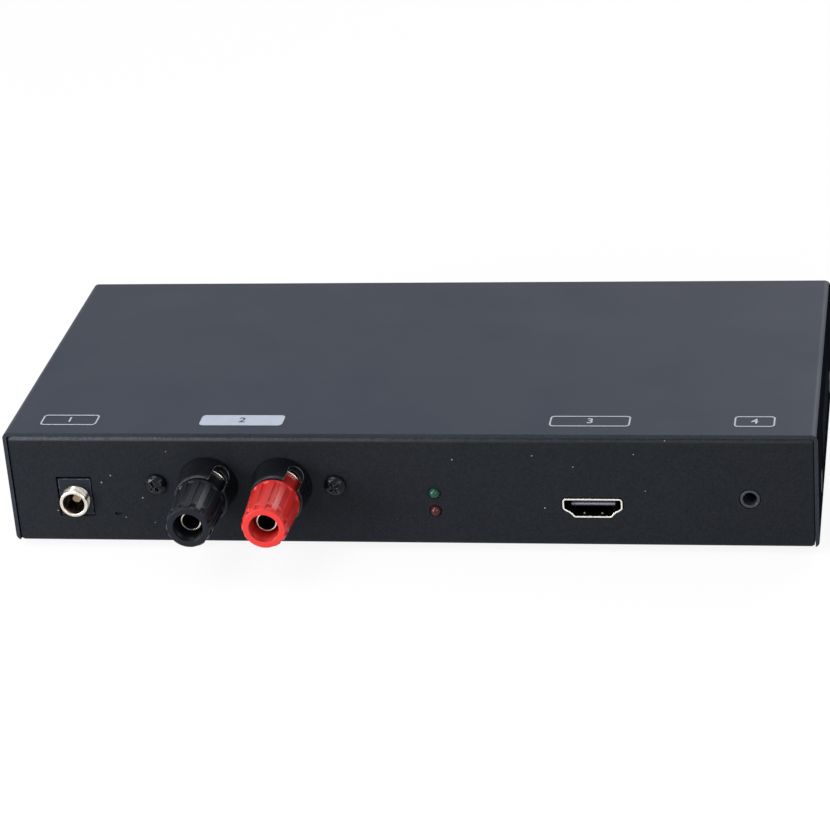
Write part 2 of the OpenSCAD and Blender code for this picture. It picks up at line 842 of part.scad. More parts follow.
// A tube swept along points, as one closed skin
module tube(points, r, sides) {
    n = len(points);
    tangent = [for (i = [0:n - 1]) unit(points[min(i + 1, n - 1)] - points[max(i - 1, 0)])];
    rings = [for (i = [0:n - 1])
        let (u = unit(cross(tangent[i], [1, 0, 0])), v = cross(tangent[i], u))
            for (k = [0:sides - 1]) points[i] + r * (cos(k * 360 / sides) * u + sin(k * 360 / sides) * v)];
    sides_faces = [for (i = [0:n - 2], k = [0:sides - 1])
        [i * sides + k, (i + 1) * sides + k, (i + 1) * sides + (k + 1) % sides, i * sides + (k + 1) % sides]];
    polyhedron(rings, concat(sides_faces, [[for (k = [0:sides - 1]) k]],
        [[for (k = [sides - 1:-1:0]) (n - 1) * sides + k]]));
}

// One lead from its lug over the board and down into the plug
module lead(i) {
    start = [post_xs[i], panel_y - behind_plate + stem_nut_h + lug_t, term_height + lug_up()];
    end = [header_x + (i - 0.5) * plug_pitch, header_y, board_top + plug_lift + plug_h];
    controls = [start, start + [0, lead_run, 0], end + [0, 0, lead_fall], end];
    tube([for (k = [0:lead_rings]) curve_at(controls, k / lead_rings)], lead_r, lead_sides);
}

module lead_black() {
    color("#18181a") lead(0);
}

module lead_red() {
    color("#c62a26") lead(1);
}

module lead_plug() {
    color("#eceae2") translate([header_x, header_y, board_top + plug_lift]) difference() {
        translate([-plug_w / 2, -plug_d / 2, 0]) cube([plug_w, plug_d, plug_h]);
        for (side = [-1, 1]) translate([side * plug_pitch / 2, plug_d / 2, plug_h * 0.55])
            cube([plug_pitch / 2, plug_d / 3, plug_h / 3], center = true);
    }
}

module lead_header() {
    color("#e4e1d6") translate([header_x, header_y, board_top]) difference() {
        translate([-header_w / 2, -header_d / 2, 0]) cube([header_w, header_d, header_h]);
        translate([-plug_w / 2 - seat_gap, -plug_d / 2 - seat_gap, plug_lift])
            cube([plug_w + 2 * seat_gap, plug_d + 2 * seat_gap, header_h]);
        translate([-plug_w / 4, header_d / 2 - over, plug_lift]) cube([plug_w / 2, 2 * over, header_h]);
    }
}

// Lamps
function led_height(i) = board_top + led_low_h + i * led_pitch;

module led(i) {
    flange_s = led_reach - led_r - led_body_l + led_rim_t;
    run = holder_d + led_lead_run;
    on_panel(led_x, led_height(i), flange_s - led_rim_t) {
        cylinder(r = led_rim_r, h = led_rim_t);
        cylinder(r = led_r, h = led_body_l);
        translate([0, 0, led_body_l]) sphere(led_r, $fn = 32);
        for (side = [-1, 1]) translate([side * led_r * 0.85, 0, -(i + 1) * led_lead_run]) {
            translate([-lead_t / 2, -lead_t / 2, 0]) cube([lead_t, lead_t, (i + 1) * led_lead_run]);
            translate([-lead_t / 2, -(led_low_h + i * led_pitch), 0]) cube([lead_t, led_low_h + i * led_pitch, lead_t]);
        }
    }
}

module led_green() {
    color("#3f8f6c") led(1);
}

module led_red() {
    color("#7c2326") led(0);
}

module led_holder() {
    front = sheet_t + holder_front;
    flange_s = led_reach - led_r - led_body_l + led_rim_t;
    color("#151618") difference() {
        translate([led_x - holder_w / 2, panel_y + front, board_top])
            cube([holder_w, holder_d, led_low_h + led_pitch + holder_top]);
        for (i = [0, 1]) {
            on_panel(led_x, led_height(i), flange_s - over) cylinder(r = led_r + seat_gap, h = holder_d);
            on_panel(led_x, led_height(i), flange_s - holder_d)
                cylinder(r = led_rim_r + seat_gap, h = holder_d);
        }
        // The lamps' legs drop down an open channel at the back
        translate([led_x - led_rim_r, panel_y - flange_s + led_rim_t, board_top - over])
            cube([2 * led_rim_r, holder_d, led_low_h + led_pitch + over]);
    }
}

// Video socket
module video_shell() {
    color("#e2d9bd") {
        difference() {
            on_panel(video_x, board_top + shell_drop, shell_reach - shell_d)
                linear_extrude(shell_d) difference() {
                    video_outline();
                    video_outline(-shell_t);
                }
            // The folded seam under the mouth
            on_panel(video_x, board_top + shell_drop, shell_reach - shell_d - over)
                cube([shell_t / 3, 2 * shell_t + seat_gap, 2 * (shell_d + 2 * over)], center = true);
        }
        for (side = [-1, 1]) {
            on_panel(video_x + side * dimple_pitch / 2, board_top + shell_drop + shell_t, shell_reach - dimple_back)
                rotate([-90, 0, 0]) cylinder(r1 = dimple_r, r2 = dimple_r / 2, h = dimple_rise);
        }
        video_legs();
    }
}

// The shell's four legs, which stand in slots in the board
module video_legs(grow = 0) {
    for (side = [-1, 1], s = [shell_d * 0.3, shell_d * 0.8])
        on_panel(video_x + side * (shell_w / 2 - shell_t / 2), board_top, shell_reach - s)
            translate([0, (shell_drop + shell_h / 2 - shell_leg_l) / 2, 0])
                cube([shell_t + 2 * grow, shell_drop + shell_h / 2 + shell_leg_l, shell_leg_w + 2 * grow],
                    center = true);
}

module video_insulator() {
    tongue_z = board_top + shell_drop + shell_h - shell_t - tongue_below - tongue_t;
    back = shell_d * 0.35;
    color("#8f9296") {
        on_panel(video_x, tongue_z + tongue_t / 2, shell_reach - shell_d + back)
            linear_extrude(shell_d - back - tongue_recess) square([tongue_w, tongue_t], center = true);
        on_panel(video_x, board_top + shell_drop, shell_reach - shell_d)
            linear_extrude(back) video_outline(-shell_t - seat_gap);
    }
}

module video_contacts() {
    tongue_z = board_top + shell_drop + shell_h - shell_t - tongue_below - tongue_t;
    run = shell_d * 0.65 - 1.3 * tongue_recess;
    color("#d9b45a") {
        for (i = [0:contact_top - 1])
            on_panel(video_x + (i - (contact_top - 1) / 2) * contact_pitch, tongue_z + tongue_t + contact_t / 2,
                shell_reach - shell_d * 0.65)
                linear_extrude(run) square([contact_w, contact_t], center = true);
        for (i = [0:contact_bottom - 1])
            on_panel(video_x + (i - (contact_bottom - 1) / 2) * contact_pitch, tongue_z - contact_t / 2,
                shell_reach - shell_d * 0.65)
                linear_extrude(run) square([contact_w, contact_t], center = true);
        // Solder tails behind the moulding
        for (i = [0:contact_top + contact_bottom - 1])
            on_panel(video_x + (i - (contact_top + contact_bottom - 1) / 2) * contact_pitch / 2,
                board_top + contact_t / 2, shell_reach - shell_d - contact_tail)
                linear_extrude(contact_tail + over) square([contact_w / 1.3, contact_t], center = true);
    }
}

// Small round jack
module ir_jack_body() {
    axis_z = board_top + ir_axis_h;
    front = sheet_t + seat_gap;
    color("#17181a") difference() {
        union() {
            translate([ir_x - ir_w / 2, panel_y + front, board_top]) cube([ir_w, ir_d, ir_h]);
            on_panel(ir_x, axis_z, -ir_recess - front) cylinder(r = ir_nose_r, h = front);
        }
        on_panel(ir_x, axis_z, -ir_recess - ir_bore_l) cylinder(r = ir_bore_r, h = ir_bore_l + over);
        for (side = [-1, 1])
            translate([ir_x + side * ir_w / 2, panel_y + front + ir_d * 0.55, board_top + ir_h])
                cube([ir_tab_w, ir_d * 0.4, ir_h * 0.7], center = true);
    }
}

module ir_jack_contacts() {
    color("#d8d9db") ir_legs();
}

// The jack's four legs, which stand in slots in the board
module ir_legs(grow = 0) {
    for (side = [-1, 1], share = [0.25, 0.85])
        translate([ir_x + side * (ir_w / 2 + ir_tab_t / 2), panel_y + sheet_t + share * ir_d, board_top])
            translate([0, 0, (ir_h / 2 - ir_tab_l) / 2])
                cube([ir_tab_t + 2 * grow, ir_tab_w + 2 * grow, ir_h / 2 + ir_tab_l], center = true);
}

// A flat chip with pins along its sides
module chip(w, d, t, pins, four_sides) {
    translate([0, 0, pin_t + t / 2]) cube([w, d, t], center = true);
    pitch = w / (pins + 1);
    for (i = [1:pins], side = [-1, 1]) {
        translate([-w / 2 + i * pitch, side * (d + pin_reach) / 2, pin_t / 2 + pin_t / 4])
            cube([pin_w, pin_reach, 1.5 * pin_t], center = true);
        if (four_sides) translate([side * (w + pin_reach) / 2, -w / 2 + i * pitch, pin_t / 2 + pin_t / 4])
            cube([pin_reach, pin_w, 1.5 * pin_t], center = true);
    }
}

module receiver_chip() {
    color("#1f2022") on_board(chip_x, chip_y) chip(chip_w, chip_w, chip_t, chip_pins, true);
}

module thermal_pad() {
    color("#a9b4c2") on_board(chip_x, chip_y)
        translate([0, 0, pin_t + chip_t + pad_t / 2]) cube([chip_w, chip_w, pad_t], center = true);
}

module heat_sink() {
    pitch = (sink_w - sink_fin_t) / (sink_fins - 1);
    color("#2a2b2e") on_board(chip_x, chip_y) translate([0, 0, pin_t + chip_t + pad_t]) {
        translate([-sink_w / 2, -sink_w / 2, 0]) cube([sink_w, sink_w, sink_base]);
        for (i = [0:sink_fins - 1])
            translate([-sink_w / 2 + i * pitch, -sink_w / 2, 0]) cube([sink_fin_t, sink_w, sink_h]);
    }
}

module modem_chip() {
    color("#1f2022") on_board(modem_x, modem_y) chip(modem_w, modem_w, modem_t, modem_pins, true);
}

module memory_chip() {
    color("#1f2022") on_board(memory_x, chip_y) chip(memory_w, memory_d, memory_t, memory_pins, false);
}

module crystal() {
    color("#c6c8cc") on_board(crystal_x, chip_y) {
        linear_extrude(crystal_h * 0.1) rotate(90) slot_2d(crystal_d, crystal_w);
        linear_extrude(crystal_h) rotate(90) slot_2d(crystal_d * 0.86, crystal_w * 0.94);
    }
}

// A ferrite frame round a moulded bobbin
module coupling_transformer() {
    color("#3b3532") on_board_left(core_x, core_y) {
        translate([0, 0, bobbin_wall]) rotate([90, 0, 0]) linear_extrude(core_d * 0.55, center = true) difference() {
            translate([-core_w / 2, 0]) square([core_w, core_h - bobbin_wall]);
            translate([-core_w / 2 + core_leg, core_leg]) square([core_w - 2 * core_leg, core_h - bobbin_wall - 2 * core_leg]);
        }
        translate([-core_w / 2, -core_d / 2, 0]) cube([core_w, core_d, bobbin_wall]);
        translate([0, 0, core_h / 2]) rotate([90, 0, 0]) cylinder(r = (core_h - 2 * core_leg) / 2, h = core_d * 0.8, center = true);
    }
}

module capacitors() {
    color("#20262f")
        for (i = [0:2]) on_board_left(cap_x, (i - 1) * cap_pitch + cap_y) rotate_extrude()
            polygon([[0, 0], [cap_r, 0], [cap_r, cap_h * 0.1], [cap_r - cap_sleeve_lip, cap_h * 0.15],
                [cap_r, cap_h * 0.2], [cap_r, cap_h - cap_sleeve_lip], [cap_r - cap_sleeve_lip, cap_h],
                [0, cap_h]]);
}

module power_inductor() {
    color("#4a4a4c") on_board_left(coil_x, coil_y) difference() {
        translate([0, 0, coil_h / 2]) cube([coil_w, coil_w, coil_h], center = true);
        translate([0, 0, coil_h * 0.75]) difference() {
            cylinder(r = coil_w * 0.46, h = coil_h);
            cylinder(r = coil_core_r, h = coil_h);
        }
    }
}

module regulator() {
    color("#1f2022") on_board_left(reg_x, reg_y) {
        translate([-reg_w / 2, -reg_d / 2, 0]) cube([reg_w, reg_d, reg_t]);
        for (i = [-1, 1]) translate([i * reg_w / 3 - pin_w, -reg_d / 2 - 2 * pin_reach, 0])
            cube([2 * pin_w, 2 * pin_reach, 2 * pin_t]);
        translate([-reg_w / 2, reg_d / 2, 0]) cube([reg_w, pin_reach, 2 * pin_t]);
    }
}

base_tray();
top_cover();
cover_screws();
rubber_feet();
main_board();
board_spacers();
board_screws();
dc_jack_body();
dc_jack_barrel();
dc_jack_pin();
dc_jack_spring();
reset_switch();
reset_plunger();
terminal_block();
terminal_screws();
terminal_nuts();
stem_black();
stem_red();
stem_nuts();
solder_lugs();
clamp_ring_black();
clamp_ring_red();
knob_insert_black();
knob_insert_red();
knob_black();
knob_red();
lead_black();
lead_red();
lead_plug();
lead_header();
led_green();
led_red();
led_holder();
video_shell();
video_insulator();
video_contacts();
ir_jack_body();
ir_jack_contacts();
receiver_chip();
thermal_pad();
heat_sink();
modem_chip();
memory_chip();
crystal();
coupling_transformer();
capacitors();
power_inductor();
regulator();
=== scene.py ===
import json
import math

import bmesh
import bpy
from mathutils import Matrix, Vector


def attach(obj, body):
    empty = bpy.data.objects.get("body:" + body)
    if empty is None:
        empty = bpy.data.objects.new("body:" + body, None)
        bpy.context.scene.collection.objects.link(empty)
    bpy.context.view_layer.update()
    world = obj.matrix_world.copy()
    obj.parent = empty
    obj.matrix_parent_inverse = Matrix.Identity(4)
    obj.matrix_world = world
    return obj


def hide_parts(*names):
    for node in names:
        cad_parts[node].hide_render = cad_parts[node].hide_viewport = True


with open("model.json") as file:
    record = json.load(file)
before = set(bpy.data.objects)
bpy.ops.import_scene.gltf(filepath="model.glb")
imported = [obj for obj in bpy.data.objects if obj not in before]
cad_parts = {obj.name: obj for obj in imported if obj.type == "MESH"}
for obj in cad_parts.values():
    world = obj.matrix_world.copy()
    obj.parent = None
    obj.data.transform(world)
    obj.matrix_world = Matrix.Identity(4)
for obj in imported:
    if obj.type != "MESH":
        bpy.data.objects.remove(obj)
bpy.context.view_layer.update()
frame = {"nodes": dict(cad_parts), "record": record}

MM = 0.001
ROOT = "housing"

# Places and sizes from the solids, in mm. x runs to the right, y to the back, z up.
CASE_W, CASE_H = 204, 30.6
BASE = 2.4                      # underside of the tray, above the floor
TOP_Z = BASE + CASE_H
FRONT, PANEL = -35.1, -34.7     # front edge of the cover, outer face of the panel
BOARD_TOP = 9.6
POSTS = {"black": -50.1, "red": -31.1}
POST_Z = 18.618
SLOT_ANGLE = math.radians(46)   # of the collars' slots, from the x axis
TERMINAL_X, TERMINAL_SCREW_OFF = -40.6, 23
DC_JACK_X, DC_JACK_Z = -85.0, BOARD_TOP + 4.4


# ---- mesh helpers

def smooth_step(a, b, v):
    t = min(max((v - a) / (b - a), 0), 1)
    return t * t * (3 - 2 * t)


def arc(cs, cr, r, a0, a1, n):
    """Points (s, r) on a quarter round, angles in degrees from the +s direction."""
    return [(cs + r * math.cos(math.radians(a0 + (a1 - a0) * i / n)),
             cr + r * math.sin(math.radians(a0 + (a1 - a0) * i / n))) for i in range(n + 1)]


def span(a, b, n):
    """n + 1 even steps from a to b."""
    return [a + (b - a) * i / n for i in range(n + 1)]


def even(n):
    """n even angles round a full turn."""
    return [2 * math.pi * k / n for k in range(n)]


def on_panel(x, z):
    """Puts local (u, v, s) in mm into the frame in metres. s runs out of the panel."""
    return lambda u, v, s: Vector(((x + u) * MM, (PANEL - s) * MM, (z + v) * MM))


def thread_cut(s, th, pitch, slope=1.2, crest=0.1):
    """Depth of a thread, from 0 on its crest to 1 at its root, along s and round by th."""
    flank = abs(2 * (((s - pitch * th / (2 * math.pi)) / pitch) % 1.0) - 1)
    return min(max(slope * flank - crest, 0), 1)


def mesh_of(name, bm):
    me = bpy.data.meshes.new(name)
    bm.to_mesh(me)
    bm.free()
    return me


def add_object(name, data):
    ob = bpy.data.objects.new(name, data)
    bpy.context.scene.collection.objects.link(ob)
    return ob


def finish_mesh(name, bm, mat, body, sharp):
    """A piece that rides on a body, with edges sharp from an angle in degrees."""
    bmesh.ops.remove_doubles(bm, verts=bm.verts, dist=2e-7)
    bmesh.ops.recalc_face_normals(bm, faces=bm.faces)
    me = mesh_of(name, bm)
    me.shade_smooth()
    me.set_sharp_from_angle(angle=math.radians(sharp))
    me.materials.append(mat)
    ob = add_object(name, me)
    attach(ob, body)
    return ob


def lathe_mesh(rows, thetas, place, shape, closed=True):
    """Rows (s, r) turned about an axis, with shape(s, r, th) worked into the skin."""
    bm = bmesh.new()
    grid = []
    for row_s, row_r in rows:
        ring = []
        for th in thetas:
            s, r = shape(row_s, row_r, th)
            ring.append(bm.verts.new(place(r * math.cos(th), r * math.sin(th), s)))
        grid.append(ring)
    n, m = len(rows), len(thetas)
    for i in range(n if closed else n - 1):
        for k in range(m):
            bm.faces.new((grid[i][k], grid[i][(k + 1) % m],
                          grid[(i + 1) % n][(k + 1) % m], grid[(i + 1) % n][k]))
    return bm


# ---- node helpers

BEVEL_SAMPLES = 6
MIX_FACTOR, MIX_A, MIX_B, MIX_RESULT = 0, 6, 7, 2   # the colour sockets of a Mix node
EDGE_MARK_REACH = 1.6                    # width of a marked edge against the edge's own radius
EDGE_MARK_BEND = (0.06, 0.2)             # how far the normal turns, from no mark to a full mark
BREAKUP_SCALE, BREAKUP_MORE = 900, 0.3    # of the noise that breaks a marked edge up
BREAKUP_FROM, BREAKUP_TO = 0.62, 0.72
DUST_COVER = 0.75


def link(nt, a, b):
    nt.links.new(a, b)


def feed(nt, value, socket):
    """Links another node's output, or sets a plain value."""
    if hasattr(value, "is_linked"):
        link(nt, value, socket)
    else:
        socket.default_value = value


def new_node(nt, kind, **inputs):
    n = nt.nodes.new(kind)
    for k, v in inputs.items():
        n.inputs[k].default_value = v
    return n


def math_node(nt, op, a, b, clamp=False):
    n = nt.nodes.new("ShaderNodeMath")
    n.operation = op
    n.use_clamp = clamp
    feed(nt, a, n.inputs[0])
    feed(nt, b, n.inputs[1])
    return n.outputs[0]


def mix_colour(nt, fac, a, b):
    """From a to b, each an output or a linear (r, g, b)."""
    n = nt.nodes.new("ShaderNodeMix")
    n.data_type = "RGBA"
    link(nt, fac, n.inputs[MIX_FACTOR])
    for colour, index in ((a, MIX_A), (b, MIX_B)):
        feed(nt, (*colour, 1) if isinstance(colour, tuple) else colour, n.inputs[index])
    return n.outputs[MIX_RESULT]


def ramp(nt, fac, lo, hi, out_lo=0.0, out_hi=1.0):
    n = nt.nodes.new("ShaderNodeMapRange")
    n.clamp = True
    link(nt, fac, n.inputs[0])
    for i, v in enumerate((lo, hi, out_lo, out_hi), 1):
        n.inputs[i].default_value = v
    return n.outputs[0]


def along(nt, co, axis, start, end, out_lo=0.0, out_hi=1.0):
    """A ramp along an axis of the frame, from start to end in mm."""
    xyz = nt.nodes.new("ShaderNodeSeparateXYZ")
    link(nt, co, xyz.inputs[0])
    return ramp(nt, xyz.outputs[axis], start * MM, end * MM, out_lo, out_hi)


def noise(nt, co, scale, detail=2.0, rough=0.5):
    n = new_node(nt, "ShaderNodeTexNoise", Scale=scale, Detail=detail, Roughness=rough)
    link(nt, co, n.inputs["Vector"])
    return n.outputs["Fac"]


def bevel(nt, radius):
    n = new_node(nt, "ShaderNodeBevel", Radius=radius * MM)
    n.samples = BEVEL_SAMPLES
    return n.outputs[0]


def bump(nt, height, normal, strength, depth, invert=False):
    n = new_node(nt, "ShaderNodeBump", Strength=strength, Distance=depth * MM)
    n.invert = invert
    link(nt, height, n.inputs["Height"])
    link(nt, normal, n.inputs["Normal"])
    return n.outputs[0]


def edge_wear_and_highlight(nt, co, edge, amount):
    """Lighter marks where the rounded normal leaves the true one: chipped wear on some materials, a
    painted highlight on others.
    """
    dot = nt.nodes.new("ShaderNodeVectorMath")
    dot.operation = "DOT_PRODUCT"
    link(nt, bevel(nt, edge * EDGE_MARK_REACH), dot.inputs[0])
    link(nt, nt.nodes.new("ShaderNodeNewGeometry").outputs["Normal"], dot.inputs[1])
    bent = ramp(nt, math_node(nt, "SUBTRACT", 1.0, dot.outputs["Value"]), *EDGE_MARK_BEND)
    breakup = ramp(nt, noise(nt, co, BREAKUP_SCALE, 3.0, 0.7), BREAKUP_FROM - BREAKUP_MORE * amount, BREAKUP_TO)
    mask = math_node(nt, "MULTIPLY", bent, breakup, clamp=True)
    return math_node(nt, "MULTIPLY", mask, amount, clamp=True)


def dust_specks(nt, co, scale, size, share):
    """Round specks in a share of the cells."""
    cells = new_node(nt, "ShaderNodeTexVoronoi", Scale=scale)
    link(nt, co, cells.inputs["Vector"])
    spot = ramp(nt, cells.outputs["Distance"], size * 0.6, size, 1.0, 0.0)
    draw = nt.nodes.new("ShaderNodeSeparateColor")
    link(nt, cells.outputs["Color"], draw.inputs[0])
    chosen = math_node(nt, "GREATER_THAN", draw.outputs[0], 1 - share)
    return math_node(nt, "MULTIPLY", math_node(nt, "MULTIPLY", spot, chosen), DUST_COVER)


def streaks(nt, co, scales, amount):
    """Fine turning or drawing marks: noise stretched by its scale along each axis."""
    stretch = nt.nodes.new("ShaderNodeMapping")
    stretch.inputs["Scale"].default_value = scales
    link(nt, co, stretch.inputs["Vector"])
    return ramp(nt, noise(nt, stretch.outputs[0], 1.0, 3.0, 0.6), 0.35, 0.65, 0, amount)


# ---- materials

COAT_ROUGH = 0.1
DUST = (190, 192, 198)
STREAK_SHADE = 0.55             # of the material's own colour
# painted highlight on the tray's top bend: noise scale of its patches and their faintest share
BEND_HIGHLIGHT_SCALE, BEND_HIGHLIGHT_LEAST = 1500, 0.5
BEND_HIGHLIGHT_RIGHT, BEND_HIGHLIGHT_FAR = CASE_W / 5, 0.3    # from where it is faintest, and how faint


def lin(rgb):
    """sRGB 0-255 to linear."""
    return tuple(((c / 255) / 12.92 if c <= 10.31 else (((c / 255) + 0.055) / 1.055) ** 2.4)
                 for c in rgb)


def surface(name, rgb, rough, vary_scale, metal=0.0, vary=0.1, rough_vary=0.06, edge=0.12, spec=0.5,
            tint=None, coat=0.0, grain=None, wave=None, speckle=None, wear_and_highlight=None, dust=None,
            streak=None, painted_light_fade=None, bend=None):
    """One procedural material. Colours are sRGB 0-255, edge radii and depths are in mm.

    vary, vary_scale  mottled colour: share, noise scale
    rough_vary        how far the roughness wanders
    grain, wave       bumps: noise scale, strength, depth
    speckle           fine grains of colour: noise scale, share
    wear_and_highlight  marked edges, chipped wear on some materials and a painted highlight on
    others: amount, colour, metal of the bare part
    dust              specks: cell scale, size, share of the cells
    streak            turning or drawing marks: noise scale along x, y and z, share
    painted_light_fade  painted light or shade, another tone further along an axis: axis, start,
    end, colour
    bend              a sheet that rolls over below its folded edge: start and end height, depth,
                      colour of the painted highlight on the bend
    """
    m = bpy.data.materials.new(name)
    m.use_nodes = True
    nt = m.node_tree
    nt.nodes.clear()
    out = nt.nodes.new("ShaderNodeOutputMaterial")
    shader = nt.nodes.new("ShaderNodeBsdfPrincipled")
    link(nt, shader.outputs[0], out.inputs[0])
    co = nt.nodes.new("ShaderNodeTexCoord").outputs["Object"]
    base = lin(rgb)

    mottle = ramp(nt, noise(nt, co, vary_scale, 4.0, 0.6), 0.3, 0.7)
    colour = mix_colour(nt, mottle, tuple(c * (1 - vary) for c in base),
                        tuple(min(c * (1 + vary), 1) for c in base))
    if speckle:
        scale, share = speckle
        fine = ramp(nt, noise(nt, co, scale, 2.0, 0.7), 0.35, 0.65)
        shade = nt.nodes.new("ShaderNodeHueSaturation")
        link(nt, colour, shade.inputs["Color"])
        link(nt, ramp(nt, fine, 0, 1, 1 - share, 1 + share), shade.inputs["Value"])
        colour = shade.outputs[0]
    metal_out = None
    # lighter edges: real wear on some materials, painted highlight lines on others
    if wear_and_highlight:
        amount, edge_mark_rgb, wear_metal = wear_and_highlight
        mask = edge_wear_and_highlight(nt, co, edge, amount)
        colour = mix_colour(nt, mask, colour, lin(edge_mark_rgb))
        if wear_metal:
            metal_out = math_node(nt, "MULTIPLY", mask, wear_metal, clamp=True)
    if dust:
        colour = mix_colour(nt, dust_specks(nt, co, *dust), colour, lin(DUST))
    if streak:
        *scales, share = streak
        colour = mix_colour(nt, streaks(nt, co, scales, share), colour,
                            tuple(c * STREAK_SHADE for c in base))
    # painted light or shade: another tone further along an axis
    if painted_light_fade:
        *stretch, painted_light_rgb = painted_light_fade
        colour = mix_colour(nt, along(nt, co, *stretch), colour, lin(painted_light_rgb))
    # the lighter band below the fold is a painted highlight, patchy and fainter to the right; the
    # bump tilts the normal
    if bend:
        start, end, depth, bend_highlight_rgb = bend
        rise = along(nt, co, 2, start, end)
        patches = ramp(nt, noise(nt, co, BEND_HIGHLIGHT_SCALE), 0.3, 0.7, BEND_HIGHLIGHT_LEAST, 1.0)
        fainter = along(nt, co, 0, -CASE_W / 2, BEND_HIGHLIGHT_RIGHT, 1.0, BEND_HIGHLIGHT_FAR)
        shine = math_node(nt, "MULTIPLY", patches, fainter)
        colour = mix_colour(nt, math_node(nt, "MULTIPLY", rise, shine), colour, lin(bend_highlight_rgb))

    normal = bevel(nt, edge)
    for marks in (wave, grain):
        if marks:
            scale, strength, mark_depth = marks
            normal = bump(nt, noise(nt, co, scale, 2.0, 0.55), normal, strength, mark_depth)
    if bend:
        normal = bump(nt, math_node(nt, "MULTIPLY", rise, rise), normal, 1.0, depth, invert=True)

    rough_out = ramp(nt, noise(nt, co, vary_scale * 2.3, 3.0), 0.3, 0.7,
                     max(rough - rough_vary, 0.02), min(rough + rough_vary, 1))
    link(nt, colour, shader.inputs["Base Color"])
    link(nt, rough_out, shader.inputs["Roughness"])
    feed(nt, metal if metal_out is None else metal_out, shader.inputs["Metallic"])
    link(nt, normal, shader.inputs["Normal"])
    shader.inputs["Specular IOR Level"].default_value = spec
    shader.inputs["Coat Weight"].default_value = coat
    shader.inputs["Coat Roughness"].default_value = COAT_ROUGH
    if tint:
        shader.inputs["Specular Tint"].default_value = (*tint, 1)
    return m


# What several materials share
POWDER = dict(vary_scale=22, rough_vary=0.03, grain=(1900, 0.3, 0.05), wave=(420, 0.12, 0.06))
MACHINED_GRAIN = (2500, 0.1, 0.02)
MOULDED_GRAIN = (2400, 0.12, 0.02)
KNOB_GRAIN = (700, 0.03, 0.02)
LEAD_GRAIN = (1500, 0.1, 0.03)
PRINT_GRAIN = (1800, 0.15, 0.02)
TURNED = (300, 4000, 300)       # marks round the y axis
COOL, COOLER, COOLEST = (0.82, 0.9, 1.0), (0.8, 0.88, 1.0), (0.74, 0.84, 1.0)
NO_METAL = 0

